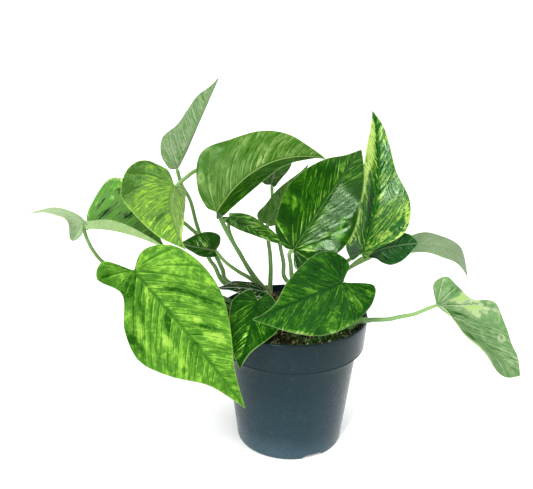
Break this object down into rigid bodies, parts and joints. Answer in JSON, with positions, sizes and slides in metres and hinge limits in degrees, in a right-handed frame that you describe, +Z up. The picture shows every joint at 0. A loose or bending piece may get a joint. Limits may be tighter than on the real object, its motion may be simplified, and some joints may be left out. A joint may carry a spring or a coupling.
{
  "type": "potted pothos plant",
  "caption": "Potted pothos: leafy vines with heart-shaped variegated leaves on long petioles, rooted in soil in a round tapered plastic nursery pot.",
  "frame": {"origin": "centre of the pot's base, on the surface the pot stands on", "axes": "+Z up along the pot's axis, -Y towards the viewer in the picture, +X to the viewer's right"},
  "size_m": [0.3693, 0.177, 0.2841],
  "materials": {
    "pot": "satin",
    "soil": "matte",
    "stem": "satin",
    "blade": "satin"
  },
  "bodies": {
    "root": {"pot": "pot", "soil": "soil", "vine_left": "stem", "vine_middle": "stem", "vine_front": "stem", "vine_right": "stem", "vine_far_right": "stem", "leaf_front_left": "blade", "leaf_front_small": "blade", "leaf_front_right": "blade", "leaf_middle": "blade", "leaf_narrow": "blade", "leaf_tall_left": "blade", "leaf_top": "blade", "leaf_behind_middle": "blade", "leaf_behind_top": "blade", "leaf_left": "blade", "leaf_upper_left": "blade", "leaf_far_left": "blade", "leaf_shaded": "blade", "leaf_tall_right": "blade", "leaf_under_right": "blade", "leaf_drooping_right": "blade", "leaf_far_right": "blade", "leaf_low_shaded": "blade"}
  },
  "joints": []
}
